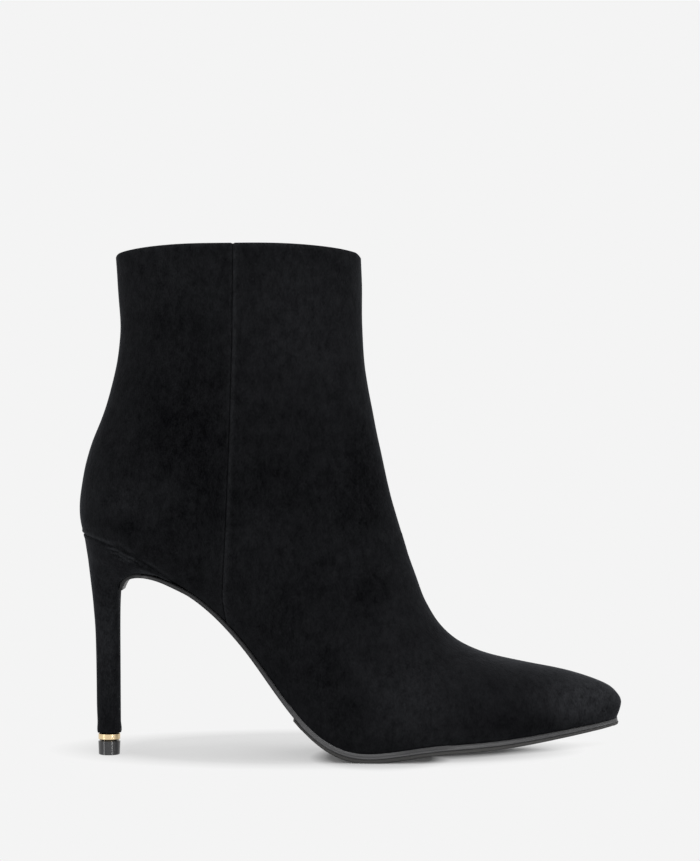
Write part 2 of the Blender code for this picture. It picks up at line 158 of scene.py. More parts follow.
# Where the floor is in the boot's shade: middle and half widths in millimetres, turn in degrees.
Shade = namedtuple("Shade", "middle radii turn")
UNDER_BALL = Shade((14.0, -12.0), (31.0, 50.0), 0.0)
UNDER_TOE = Shade((58.0, 10.0), (75.0, 20.0), 32.0)
UNDER_BOOT = Shade((-15.0, 25.0), (125.0, 85.0), 0.0)


def activate(piece):
    """Make one piece the only one that is selected."""
    bpy.ops.object.select_all(action="DESELECT")
    bpy.context.view_layer.objects.active = piece
    piece.select_set(True)


def coordinates(mesh):
    """A mesh's points as rows of x, y, z."""
    flat = np.empty(len(mesh.vertices) * 3)
    mesh.vertices.foreach_get("co", flat)
    return flat.reshape(-1, 3)


def normals(mesh):
    """The direction that each point of a mesh faces."""
    flat = np.empty(len(mesh.vertices) * 3)
    mesh.vertices.foreach_get("normal", flat)
    return flat.reshape(-1, 3)


def put(mesh, points):
    """Set a mesh's points."""
    mesh.vertices.foreach_set("co", points.ravel())
    mesh.update()


def copy_of(node, name):
    """A new piece from a solid's skin, welded and paired into quads."""
    mesh = frame["nodes"][node].data.copy()
    mesh.materials.clear()
    piece = bpy.data.objects.new(name, mesh)
    bpy.context.scene.collection.objects.link(piece)
    activate(piece)
    bpy.ops.mesh.customdata_custom_splitnormals_clear()
    bpy.ops.object.mode_set(mode="EDIT")
    bpy.ops.mesh.select_all(action="SELECT")
    bpy.ops.mesh.remove_doubles(threshold=WELD)
    bpy.ops.mesh.tris_convert_to_quads(face_threshold=math.radians(60),
                                       shape_threshold=math.radians(70))
    bpy.ops.object.mode_set(mode="OBJECT")
    return piece


def keep_edges_crisp(piece, angle):
    """Crease every edge that turns more than `angle` degrees."""
    activate(piece)
    bpy.ops.object.mode_set(mode="EDIT")
    bpy.ops.mesh.select_mode(type="EDGE")
    bpy.ops.mesh.select_all(action="DESELECT")
    bpy.ops.mesh.edges_select_sharp(sharpness=math.radians(angle))
    bpy.ops.transform.edge_crease(value=1.0)
    bpy.ops.object.mode_set(mode="OBJECT")


def soften(piece, levels, fit=0.0):
    """Subdivide a piece into a soft surface; its points may move out by `fit` to hold its size."""
    activate(piece)
    soft = piece.modifiers.new("soft", "SUBSURF")
    soft.levels = levels
    soft.render_levels = levels
    wanted = coordinates(piece.data)
    for _ in range(FIT_ROUNDS if fit else 0):
        seen = piece.evaluated_get(bpy.context.evaluated_depsgraph_get())
        got = coordinates(seen.data)[:len(wanted)]
        step = coordinates(piece.data) - got
        length = np.linalg.norm(step, axis=1, keepdims=True)
        step *= np.minimum(1.0, fit / np.maximum(length, 1e-9))
        put(piece.data, wanted + step)
    bpy.ops.object.modifier_apply(modifier="soft")


def drop_pinched_points(piece):
    """Take out points that only two faces share, because they would pucker a soft surface."""
    mesh = piece.data
    edges = np.zeros(len(mesh.vertices), int)
    for edge in mesh.edges:
        edges[list(edge.vertices)] += 1
    faces = np.zeros(len(mesh.vertices), int)
    for face in mesh.polygons:
        faces[list(face.vertices)] += 1
    pinched = (edges == 2) & (faces == 2)
    for part in (mesh.polygons, mesh.edges):
        part.foreach_set("select", [False] * len(part))
    mesh.vertices.foreach_set("select", pinched)
    activate(piece)
    bpy.ops.object.mode_set(mode="EDIT")
    bpy.ops.mesh.select_mode(type="VERT")
    if pinched.any():
        bpy.ops.mesh.dissolve_verts()
    bpy.ops.object.mode_set(mode="OBJECT")


def open_edge(mesh, low, high):
    """A skin's open edge between two heights: places along the boot, rising, and their heights."""
    sides = np.empty(len(mesh.loops), int)
    mesh.loops.foreach_get("edge_index", sides)
    ends = np.empty(len(mesh.edges) * 2, int)
    mesh.edges.foreach_get("vertices", ends)
    lone = np.bincount(sides, minlength=len(mesh.edges)) == 1
    rim = coordinates(mesh)[np.unique(ends.reshape(-1, 2)[lone])]
    rim = rim[(rim[:, 2] > low) & (rim[:, 2] < high)]
    rim = rim[np.argsort(rim[:, 0])]
    return rim[:, 0], rim[:, 2]


def below_top(mesh, facing_up, floor=0.0):
    """How far each point of a mesh lies below its top: the faces above a floor that look up."""
    rows = sorted(face.center[:] for face in mesh.polygons
                  if face.normal.z > facing_up and face.center.z > floor)
    top = np.array(rows)
    points = coordinates(mesh)
    return np.interp(points[:, 0], top[:, 0], top[:, 2]) - points[:, 2]


def rise(values, start, length):
    """0 up to a start, then rising to 1 over a length."""
    return np.clip((values - start) / length, 0.0, 1.0)


def hump(values, middle, width):
    """1 at a middle, fading softly on both sides."""
    return np.exp(-((values - middle) / width) ** 2)


def between(values, start, end, soft):
    """1 between two places and 0 outside, with soft ends."""
    up = rise(values, start, soft)
    down = rise(-values, -end, soft)
    return up * up * (3 - 2 * up) * down * down * (3 - 2 * down)


def gather_relief(along, below, height):
    """Height of the gathers at the heel seat, with a painted highlight on each ridge and painted
    shade in the fold under it; `below` its line is above 0.
    """
    lift = np.zeros(len(along))
    ridge_highlight_and_fold_shade = np.zeros(len(along))
    for row in GATHERS:
        shown = between(along / MM, row.start, row.end, GATHER_ENDS)
        wander = row.wave * np.sin((along / MM - row.start) * GATHER_BENDS)
        off = (below / MM - row.drop - wander) / row.width
        ridge = shown * hump(off, 0.0, 1.0)
        fold = shown * hump(off, FOLD_PLACE, 1.0)
        lift += row.height * height * (ridge - FOLD_SHARE * fold)
        # Painted highlight on each ridge and painted shade in the fold under it.
        ridge_highlight_and_fold_shade += row.height * (1.3 * ridge - FOLD_SHARE * fold)
    return lift, ridge_highlight_and_fold_shade


def painted_light_tone(points):
    """How much painted light, above 0, or painted shade, below 0, lies at each point."""
    along = points[:, 0] / MM
    up = points[:, 2] / MM
    tone = np.zeros(len(points))
    for spot in PAINTED_LIGHT:
        near = hump(along, spot.along, spot.reach_along) * hump(up, spot.up, spot.reach_up)
        tone += spot.amount * near
    return tone


def select_faces(piece, wanted):
    """Select the faces that `wanted` says yes to, by centre and normal, in edit mode."""
    bpy.ops.object.mode_set(mode="OBJECT")
    activate(piece)
    mesh = piece.data
    chosen = [bool(wanted(face.center, face.normal)) for face in mesh.polygons]
    if not any(chosen):
        raise RuntimeError(f"no faces were found on {piece.name}")
    mesh.polygons.foreach_set("select", chosen)
    for part in (mesh.edges, mesh.vertices):
        part.foreach_set("select", [False] * len(part))
    bpy.ops.object.mode_set(mode="EDIT")
    bpy.ops.mesh.select_mode(type="FACE")


def swell_faces(piece, wanted, amount):
    """Move the wanted faces out by a little, up to the next layer or to fill out a wall."""
    select_faces(piece, wanted)
    bpy.ops.transform.shrink_fatten(value=amount)
    bpy.ops.object.mode_set(mode="OBJECT")


def cut_beside(piece, wanted, point, across, offsets):
    """Cut the wanted faces along planes square to `across`, each its offset from a point."""
    for offset in offsets:
        select_faces(piece, wanted)
        bpy.ops.mesh.bisect(plane_co=point + across * offset, plane_no=across)
    bpy.ops.object.mode_set(mode="OBJECT")


def note_light_and_shade(mesh, amounts):
    """Note on a mesh where its colour is painted paler, above 0, or darker, below 0: painted
    highlight and painted shade, kept in the mesh's 'wear' attribute.
    """
    wear = mesh.attributes.new("wear", "FLOAT", "POINT")
    values = np.zeros(len(mesh.vertices), np.float32)
    values[:len(amounts)] = amounts
    wear.data.foreach_set("value", values)


def finish_piece(piece, node, slot, *looks):
    """Give a piece its looks and its place in the boot."""
    for look in looks:
        piece.data.materials.append(look)
    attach(piece, "root")
    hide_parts(node)


def smooth_angle(piece, angle):
    """Shade a piece smooth, its real edges apart."""
    activate(piece)
    bpy.ops.object.shade_smooth_by_angle(angle=math.radians(angle))


def seam_x(z):
    """Where the side seam lies along the boot at a height, in metres."""
    heights, places = zip(*reversed(SEAM_LINE))
    return np.interp(z / MM, heights, places) * MM


def seam_plane():
    """A point on the plane that the side seam is cut with, and the plane's normal."""
    high, low = SEAM_LINE[0], SEAM_LINE[SEAM_BEND]
    lean = (high[1] - low[1]) / (high[0] - low[0])
    return Vector((high[1] * MM, 0.0, high[0] * MM)), Vector((1.0, 0.0, -lean)).normalized()


def distance_to_line(points, line):
    """Distance of (x, z) points to a line through a few points, and how far along it they are."""
    best = np.full(len(points), 1e9)
    along = np.zeros(len(points))
    lengths = [math.dist(a, b) for a, b in zip(line, line[1:])]
    done = 0.0
    for (a, b), length in zip(zip(line, line[1:]), lengths):
        a = np.array(a)
        step = (np.array(b) - a) / length
        t = np.clip((points - a) @ step, 0.0, length)
        away = np.linalg.norm(points - a - t[:, None] * step, axis=1)
        nearer = away < best
        best[nearer] = away[nearer]
        along[nearer] = (done + t[nearer]) / sum(lengths)
        done += length
    return best, along


class BootSizes(bpy.types.PropertyGroup):
    """Sizes of the sewn and worked details."""

    wall: bpy.props.FloatProperty(
        name="Wall", description="Thickness of suede, backing and lining together",
        default=2.0 * MM, min=0.5 * MM, max=4.0 * MM, unit="LENGTH", precision=5)
    seam_depth: bpy.props.FloatProperty(
        name="Seam depth", description="How deep the side seams pull in",
        default=0.45 * MM, min=0.0, max=1.5 * MM, unit="LENGTH", precision=5)
    seam_roll: bpy.props.FloatProperty(
        name="Seam roll", description="How far the suede stands up beside the side seams",
        default=0.28 * MM, min=0.0, max=1.0 * MM, unit="LENGTH", precision=5)
    notch: bpy.props.FloatProperty(
        name="Collar notch", description="How far the collar dips where a side seam ends",
        default=0.4 * MM, min=0.0, max=3.0 * MM, unit="LENGTH", precision=5)
    front_corner: bpy.props.FloatProperty(
        name="Front corner", description="Radius that rounds the collar down at the front",
        default=3.4 * MM, min=0.5 * MM, max=8.0 * MM, unit="LENGTH", precision=5)
    back_corner: bpy.props.FloatProperty(
        name="Back corner", description="Radius that rounds the collar down at the back",
        default=2.4 * MM, min=0.5 * MM, max=8.0 * MM, unit="LENGTH", precision=5)
    toe_fill: bpy.props.FloatProperty(
        name="Toe fill", description="How far the toe is filled out at its middle height",
        default=0.9 * MM, min=0.0, max=2.0 * MM, unit="LENGTH", precision=5)
    shaft_fill: bpy.props.FloatProperty(
        name="Shaft fill", description="How far the front of the shaft is filled out",
        default=0.35 * MM, min=0.0, max=1.0 * MM, unit="LENGTH", precision=5)
    crease_share: bpy.props.FloatProperty(
        name="Creases", description="Share of the full depth of the soft creases",
        default=1.0, min=0.0, max=2.0, subtype="FACTOR")
    gather: bpy.props.FloatProperty(
        name="Gathers", description="Height of the gathers along the heel seat",
        default=0.3 * MM, min=0.0, max=1.0 * MM, unit="LENGTH", precision=5)
    breast_corner: bpy.props.FloatProperty(
        name="Breast corners", description="How far the corners of the heel breast come forward",
        default=1.9 * MM, min=0.0, max=3.0 * MM, unit="LENGTH", precision=5)
    heel_fill: bpy.props.FloatProperty(
        name="Heel fill", description="How far the heel's cover is filled out behind and at the seat",
        default=0.3 * MM, min=0.0, max=1.0 * MM, unit="LENGTH", precision=5)
    hem: bpy.props.FloatProperty(
        name="Heel hem", description="How far the heel's cover stands out above the band",
        default=0.22 * MM, min=0.0, max=1.0 * MM, unit="LENGTH", precision=5)
    taller_band: bpy.props.FloatProperty(
        name="Taller band", description="How much taller the band shows under a higher hem",
        default=0.5 * MM, min=0.0, max=1.0 * MM, unit="LENGTH", precision=5)
    band_fill: bpy.props.FloatProperty(
        name="Band fill", description="How far the band's wall stands out from its solid",
        default=0.15 * MM, min=0.0, max=0.5 * MM, unit="LENGTH", precision=5)
    tip_fill: bpy.props.FloatProperty(
        name="Top piece fill", description="How far the top piece's wall stands out from its solid",
        default=0.3 * MM, min=0.0, max=0.5 * MM, unit="LENGTH", precision=5)
    closing: bpy.props.FloatProperty(
        name="Closing", description="How far layers swell to close the clearance between solids",
        default=0.22 * MM, min=0.0, max=0.3 * MM, unit="LENGTH", precision=5)
    unevenness: bpy.props.FloatProperty(
        name="Unevenness", description="Height of the slow swell of the suede over the last",
        default=0.22 * MM, min=0.0, max=1.0 * MM, unit="LENGTH", precision=5)


class BootColours(bpy.types.PropertyGroup):
    """Colours of the finishes."""

    # The suede runs from its darkest to its palest tone, set by its grain and by the painted light
    # and shade noted on the mesh.
    suede_dark: bpy.props.FloatVectorProperty(
        name="Suede, dark", description="Suede where the nap lies away",
        default=(0.0003, 0.00032, 0.0005), min=0.0, max=1.0, subtype="COLOR")
    suede_light: bpy.props.FloatVectorProperty(
        name="Suede, light", description="Suede where the nap is rubbed palest",
        default=(0.0170, 0.0178, 0.0197), min=0.0, max=1.0, subtype="COLOR")
    lining: bpy.props.FloatVectorProperty(
        name="Lining", description="Lining and insole leather",
        default=(0.020, 0.019, 0.018), min=0.0, max=1.0, subtype="COLOR")
    # The outsole's edge runs from painted shade under the arch to a painted highlight along the top
    # of the forepart.
    sole_shaded: bpy.props.FloatVectorProperty(
        name="Sole, dark", description="Edge of the outsole under the arch",
        default=(0.006, 0.006, 0.0066), min=0.0, max=1.0, subtype="COLOR")
    sole_highlit: bpy.props.FloatVectorProperty(
        name="Sole, light", description="Edge of the outsole where it is buffed",
        default=(0.077, 0.077, 0.079), min=0.0, max=1.0, subtype="COLOR")
    # The forepart layer runs from painted shade at its foot to its lighter top where it meets the
    # outsole.
    tread_dark: bpy.props.FloatVectorProperty(
        name="Tread, dark", description="Forepart layer at its foot",
        default=(0.006, 0.006, 0.006), min=0.0, max=1.0, subtype="COLOR")
    tread_light: bpy.props.FloatVectorProperty(
        name="Tread, light", description="Forepart layer where it meets the outsole",
        default=(0.034, 0.033, 0.032), min=0.0, max=1.0, subtype="COLOR")
    metal: bpy.props.FloatVectorProperty(
        name="Band", description="Metal band above the top piece",
        default=(0.882, 0.688, 0.415), min=0.0, max=1.0, subtype="COLOR")
    top_piece: bpy.props.FloatVectorProperty(
        name="Top piece", description="Glossy piece that the heel stands on",
        default=(0.008, 0.008, 0.009), min=0.0, max=1.0, subtype="COLOR")
    floor: bpy.props.FloatVectorProperty(
        name="Floor", description="Studio floor",
        default=(0.44, 0.44, 0.44), min=0.0, max=1.0, subtype="COLOR")


def start_material(name):
    """A new material with its node tree and shader."""
    made = bpy.data.materials.new(name)
    made.use_nodes = True
    return made, made.node_tree, made.node_tree.nodes["Principled BSDF"]


def grain(tree, scale, detail, stretch=(1.0, 1.0, 1.0), turn=(0.0, 0.0, 0.0)):
    """Noise in the piece's own space; `scale` cells to the metre."""
    place = tree.nodes.new("ShaderNodeTexCoord")
    mapping = tree.nodes.new("ShaderNodeMapping")
    mapping.inputs["Scale"].default_value = stretch
    mapping.inputs["Rotation"].default_value = turn
    cells = tree.nodes.new("ShaderNodeTexNoise")
    cells.inputs["Scale"].default_value = scale
    cells.inputs["Detail"].default_value = detail
    tree.links.new(place.outputs["Object"], mapping.inputs["Vector"])
    tree.links.new(mapping.outputs["Vector"], cells.inputs["Vector"])
    return cells.outputs["Fac"]


def sums(tree, *weighted):
    """Weighted sum of node outputs."""
    total = None
    for output, weight in weighted:
        part = tree.nodes.new("ShaderNodeMath")
        part.operation = "MULTIPLY_ADD"
        part.inputs[1].default_value = weight
        tree.links.new(output, part.inputs[0])
        if total is None:
            part.inputs[2].default_value = 0.0
        else:
            tree.links.new(total, part.inputs[2])
        total = part.outputs[0]
    return total


def ramp(tree, output, low, high, first, second):
    """Colour from `first` to `second` as an output goes from low to high."""
    bands = tree.nodes.new("ShaderNodeValToRGB")
    bands.color_ramp.elements[0].position = low
    bands.color_ramp.elements[0].color = (*first, 1.0)
    bands.color_ramp.elements[1].position = high
    bands.color_ramp.elements[1].color = (*second, 1.0)
    tree.links.new(output, bands.inputs["Fac"])
    return bands.outputs["Color"]


def span(tree, output, low, high, first, second):
    """A number that goes from `first` to `second` as an output goes from low to high."""
    band = tree.nodes.new("ShaderNodeMapRange")
    band.inputs["From Min"].default_value = low
    band.inputs["From Max"].default_value = high
    band.inputs["To Min"].default_value = first
    band.inputs["To Max"].default_value = second
    tree.links.new(output, band.inputs["Value"])
    return band.outputs["Result"]


def raise_surface(tree, shader, height, depth, strength):
    """Fine relief on a shader, `depth` metres high."""
    relief = tree.nodes.new("ShaderNodeBump")
    relief.inputs["Distance"].default_value = depth
    relief.inputs["Strength"].default_value = strength
    tree.links.new(height, relief.inputs["Height"])
    for layer in ("Normal", "Coat Normal"):
        tree.links.new(relief.outputs["Normal"], shader.inputs[layer])


def combine(tree, operation, first, second):
    """One output from two, by an operation of the Math node."""
    made = tree.nodes.new("ShaderNodeMath")
    made.operation = operation
    tree.links.new(first, made.inputs[0])
    tree.links.new(second, made.inputs[1])
    return made.outputs[0]


def noted_light_and_shade(tree):
    """The painted highlight and shade noted on the mesh, from its 'wear' attribute."""
    wear = tree.nodes.new("ShaderNodeAttribute")
    wear.attribute_name = "wear"
    return wear.outputs["Fac"]


def toned(colour, share):
    """A colour made darker, below 1, or lighter, above 1."""
    return tuple(part * share for part in colour)


def suede_look(name, colours, paler=1.0):
    """Black suede: brushed nap, soft patches, the painted light and shade noted on the mesh with a
    speckle that shows where it is painted lighter, and a faint sheen.
    """
    made, tree, shader = start_material(name)
    fibres = grain(tree, 1500.0, 3.0, (1.0, 1.0, 0.55), (0.0, math.radians(20), 0.0))
    tufts = grain(tree, 420.0, 3.0, (1.0, 1.0, 0.6), (0.0, math.radians(35), 0.0))
    brush = grain(tree, 120.0, 4.0)
    patches = grain(tree, 38.0, 3.0)
    wear = noted_light_and_shade(tree)
    speckle = span(tree, sums(tree, (fibres, 0.55), (tufts, 0.45)), 0.3, 0.7, -0.5, 0.5)
    # The speckle shows only where the suede is painted lighter, most at the painted light on the toe
    # tip.
    rubbed = combine(tree, "MULTIPLY", speckle, span(tree, wear, 0.0, 3.0, 0.0, 3.0))
    tone = sums(tree, (fibres, 0.21), (tufts, 0.168), (brush, 0.132), (patches, 0.09),
                (wear, 0.13), (rubbed, 0.22))
    colour = ramp(tree, tone, 0.18, 0.90, toned(colours.suede_dark, paler),
                  toned(colours.suede_light, paler))
    tree.links.new(colour, shader.inputs["Base Color"])
    tree.links.new(span(tree, tone, 0.21, 0.39, 0.98, 0.84), shader.inputs["Roughness"])
    relief = sums(tree, (fibres, 0.55), (tufts, 0.9), (brush, 1.2))
    raise_surface(tree, shader, relief, 0.35 * MM, 0.8)
    shader.inputs["Specular IOR Level"].default_value = 0.03
    shader.inputs["Sheen Weight"].default_value = 0.05
    shader.inputs["Sheen Roughness"].default_value = 0.42
    shader.inputs["Sheen Tint"].default_value = (0.78, 0.82, 0.92, 1.0)
    return made


def lining_look(name, colours):
    """Smooth lining leather with a fine pebbled grain."""
    made, tree, shader = start_material(name)
    pores = grain(tree, 1400.0, 4.0)
    wear = grain(tree, 70.0, 3.0)
    tone = sums(tree, (pores, 0.5), (wear, 0.5))
    colour = ramp(tree, tone, 0.38, 0.62, toned(colours.lining, 0.7), toned(colours.lining, 1.35))
    tree.links.new(colour, shader.inputs["Base Color"])
    tree.links.new(span(tree, tone, 0.35, 0.65, 0.62, 0.46), shader.inputs["Roughness"])
    raise_surface(tree, shader, pores, 0.2 * MM, 0.4)
    return made


def edge_look(name, darker, lighter, roughness):
    """Painted sole edge, with the painted light and shade noted on the mesh and faint streaks along
    its length.
    """
    made, tree, shader = start_material(name)
    streaks = grain(tree, 600.0, 4.0, (0.12, 1.0, 1.0))
    flecks = grain(tree, 1800.0, 2.0)
    # Painted light and shade from the mesh, with streaks and flecks of the edge's own tone.
    tone = sums(tree, (streaks, 0.18), (flecks, 0.10), (noted_light_and_shade(tree), 0.72))
    tree.links.new(ramp(tree, tone, 0.14, 0.86, darker, lighter), shader.inputs["Base Color"])
    low, high = roughness
    tree.links.new(span(tree, streaks, 0.35, 0.65, low, high), shader.inputs["Roughness"])
    relief = sums(tree, (streaks, 0.6), (flecks, 0.4))
    raise_surface(tree, shader, relief, 0.12 * MM, 0.5)
    shader.inputs["Specular IOR Level"].default_value = 0.2
    return made


def metal_look(name, colour):
    """Bright band with fine lines left by turning."""
    made, tree, shader = start_material(name)
    lines = grain(tree, 900.0, 3.0, (0.02, 0.02, 4.0))
    tint = ramp(tree, lines, 0.4, 0.6, toned(colour, 0.82), colour)
    tree.links.new(tint, shader.inputs["Base Color"])
    tree.links.new(span(tree, lines, 0.35, 0.65, 0.12, 0.22), shader.inputs["Roughness"])
    raise_surface(tree, shader, lines, 0.02 * MM, 0.4)
    shader.inputs["Metallic"].default_value = 1.0
    return made


def gloss_look(name, colour):
    """Moulded black piece with a deep gloss and a few scuffs."""
    made, tree, shader = start_material(name)
    scuffs = grain(tree, 900.0, 4.0, (1.0, 1.0, 0.3))
    tint = ramp(tree, scuffs, 0.45, 0.7, colour, toned(colour, 1.6))
    tree.links.new(tint, shader.inputs["Base Color"])
    tree.links.new(span(tree, scuffs, 0.4, 0.7, 0.30, 0.34), shader.inputs["Roughness"])
    shader.inputs["Anisotropic"].default_value = 0.9
    shader.inputs["Anisotropic Rotation"].default_value = 0.25
    shader.inputs["Specular IOR Level"].default_value = 0.55
    shader.inputs["Coat Weight"].default_value = 0.1
    shader.inputs["Coat Roughness"].default_value = 0.05
    return made


class BOOT_OT_upper(bpy.types.Operator):
    """Model the suede upper with its side seams, creases, rolled collar and lining"""

    bl_idname = "boot.upper"
    bl_label = "Suede upper"

    def execute(self, context):
        sizes = context.scene.boot_sizes
        colours = context.scene.boot_colours
        upper = copy_of("upper", "suede_upper")
        self.keep_outer_skin(upper)
        drop_pinched_points(upper)
        soften(upper, 2, 0.5 * MM)
        self.fill_out(upper.data, sizes)
        edge = open_edge(upper.data, 0.0, 150 * MM)
        rim = open_edge(upper.data, 200 * MM, FAR)
        self.cut_seams(upper)
        self.cut_seat(upper)
        outward = normals(upper.data)
        finish_piece(upper, "upper", "suede", suede_look("black_suede", colours),
                     lining_look("lining_leather", colours))
        self.give_wall(upper, sizes)
        self.work_suede(upper, sizes, outward, edge, rim)
        self.round_collar(upper, sizes)
        return {"FINISHED"}

    def keep_outer_skin(self, upper):
        """Keep the outer skin, its small cracks closed; the wall is given back later."""
        outermost = min(face.center.y for face in upper.data.polygons)
        select_faces(upper, lambda centre, normal: centre.y == outermost)
        bpy.ops.mesh.faces_select_linked_flat(sharpness=math.radians(60))
        bpy.ops.mesh.select_all(action="INVERT")
        bpy.ops.mesh.delete(type="FACE")
        bpy.ops.mesh.select_all(action="SELECT")
        bpy.ops.mesh.remove_doubles(threshold=SLIVER)
        bpy.ops.mesh.select_all(action="SELECT")
        bpy.ops.mesh.fill_holes(sides=3)
        bpy.ops.object.mode_set(mode="OBJECT")

    def fill_out(self, mesh, sizes):
        """Fill the toe at its middle height and the front of the shaft a little."""
        points = coordinates(mesh)
        facing = rise(normals(mesh)[:, 0], 0.0, 0.6)
        shaft = between(points[:, 2], 40 * MM, FAR, 25 * MM)
        points[:, 0] += sizes.shaft_fill * facing * shaft
        toe = rise(points[:, 0], 108 * MM, 13 * MM) ** 2 * hump(points[:, 2], 22.5 * MM, 4.5 * MM)
        points[:, 0] += sizes.toe_fill * toe
        put(mesh, points)

    def cut_seams(self, upper):
        """Cut the skin along and beside each side seam."""
        point, across = seam_plane()
        reach = 8 * MM
        offsets = sorted({s * cut * MM for cut in SEAM_CUTS for s in (-1, 1)})
        for side in (-1, 1):
            def beside(centre, normal):
                near = abs((centre - point).dot(across)) < reach
                return near and centre.y * side > ON_SIDE
            cut_beside(upper, beside, point, across, offsets)

    def cut_seat(self, upper):
        """Cut the skin along the heel seat, where the gathers go."""
        back, front = (Vector((x * MM, 0.0, z * MM)) for x, z in SEAT_LINE)
        along = (front - back).normalized()
        across = Vector((-along.z, 0.0, along.x))
        cut_beside(upper, lambda centre, normal: centre.x < -74 * MM and centre.z < 112 * MM,
                   back, across, [cut * MM for cut in SEAT_CUTS])

    def work_suede(self, upper, sizes, outward, edge, rim):
        """Press the seams in, lay the creases and gathers, swell the suede and shape the collar."""
        mesh = upper.data
        everywhere = coordinates(mesh)
        points = everywhere[:len(outward)]
        along = points[:, 0]
        height = points[:, 2]
        point, across = seam_plane()
        away = (points - np.array(point)) @ np.array(across)
        on_side = np.abs(points[:, 1] - SIDE_MIDDLE) > ON_SIDE
        above = height - np.interp(along, *edge)

        seam, seam_highlight_and_shade = self.seam_relief(away, sizes)
        gathers, gather_highlight_and_shade = gather_relief(along, -above, sizes.gather)
        soft = self.crease_relief(points, sizes) + self.swell(points, sizes)
        soft *= rise(above, 0.0, 5 * MM)
        moved = points + outward * (soft + on_side * seam + gathers)[:, None]

        slide = on_side * hump(away, 0.0, 14 * MM)
        planned = point.x - (height - point.z) * across.z / across.x
        moved[:, 0] += slide * (seam_x(height) - planned)
        follow = np.interp(moved[:, 0], *edge) - np.interp(along, *edge)
        moved[:, 2] += np.where(slide > 0.01, follow, 0.0) * hump(above, 0.0, 9 * MM)

        # From here on `points`, `along` and `height` hold the moved places.
        everywhere[:len(outward)] = moved
        near_top = rise(height, 226 * MM, 4 * MM)
        notch = sizes.notch * on_side * near_top * hump(away, 0.0, 0.6 * MM)
        drop = self.corner_drop(points, rim, sizes) + notch
        everywhere[:len(outward), 2] -= drop
        everywhere[len(outward):, 2] -= drop
        put(mesh, everywhere)
        # The collar's folded edge is painted paler.
        paler_collar_edge = 0.9 * hump(height, np.interp(along, *rim), 0.8 * MM)
        # The suede notes painted highlight and shade at the seams and gathers, the table's painted
        # light and shade, and the paler collar edge.
        note_light_and_shade(mesh, on_side * seam_highlight_and_shade + gather_highlight_and_shade + painted_light_tone(points) + paler_collar_edge)

    def corner_drop(self, points, rim, sizes):
        """How far the collar falls to round its front and back corners, in a soft dip."""
        along = points[:, 0]
        blunt = 0.9 * MM
        drop = np.zeros(len(points))
        corners = ((rim[0][-1], -1, sizes.front_corner), (rim[0][0], 1, sizes.back_corner))
        for end, inward, radius in corners:
            short = np.clip(radius - blunt - (along - end) * inward, 0.0, radius - blunt)
            drop += radius - np.sqrt(radius ** 2 - short ** 2)
        # Each dip is rounded at its middle, and between them the collar sits a little lower.
        side = np.abs(points[:, 1] - SIDE_MIDDLE)
        drop -= 0.215 * (np.hypot(side, 7 * MM) - side)
        drop += 0.4 * MM * hump(along, -54 * MM, 18 * MM)
        return drop * rise(points[:, 2], 205 * MM, 18 * MM)

    def seam_relief(self, away, sizes):
        """Height beside a side seam, a groove and a roll that is fuller in front of it, with a
        painted highlight on the roll and painted shade in the groove.
        """
        groove = hump(away, 0.0, 0.24 * MM)
        front = (away > 0) * hump(away, 0.55 * MM, 1.3 * MM)
        back = (away < 0) * hump(away, -0.8 * MM, 0.9 * MM)
        lift = sizes.seam_roll * (front + 0.5 * back) - sizes.seam_depth * groove
        # The roll is painted paler as a highlight and the groove darker as shade.
        return lift, 0.85 * front + 0.3 * back - 0.8 * groove

    def crease_relief(self, points, sizes):
        """Soft troughs with a low swell beside them."""
        flat = points[:, [0, 2]] / MM
        lift = np.zeros(len(points))
        for crease in CREASES:
            dist, along = distance_to_line(flat, crease.line)
            fade = np.clip(np.minimum(along, 1 - along) * 4 + 0.15, 0.0, 1.0)
            beside = hump(dist, 2 * crease.width, crease.width)
            trough = hump(dist, 0.0, crease.width) - 0.45 * beside
            shown = 1.0 if crease.side == 0 else (points[:, 1] * crease.side > 0)
            lift -= shown * crease.depth * MM * sizes.crease_share * fade * trough
        return lift

    def swell(self, points, sizes):
        """The slow unevenness of suede over a last."""
        waves = [noise.noise(Vector(p) * 38.0) + 0.5 * noise.noise(Vector(p) * 90.0)
                 for p in points]
        return sizes.unevenness * np.array(waves)

    def give_wall(self, upper, sizes):
        """Give the skin its wall and its lining."""
        activate(upper)
        wall = upper.modifiers.new("wall", "SOLIDIFY")
        wall.thickness = sizes.wall
        wall.offset = -1.0
        wall.use_even_offset = False
        wall.use_rim = True
        wall.material_offset = 1
        wall.material_offset_rim = 0
        bpy.ops.object.modifier_apply(modifier="wall")

    def round_collar(self, upper, sizes):
        """Round the folded edge of the collar."""
        select_faces(upper, lambda centre, normal: centre.z > 215 * MM and normal.z > 0.75)
        bpy.ops.mesh.region_to_loop()
        bpy.ops.mesh.bevel(offset=sizes.wall * 0.42, segments=3, affect="EDGES")
        bpy.ops.object.mode_set(mode="OBJECT")
        smooth_angle(upper, 60)


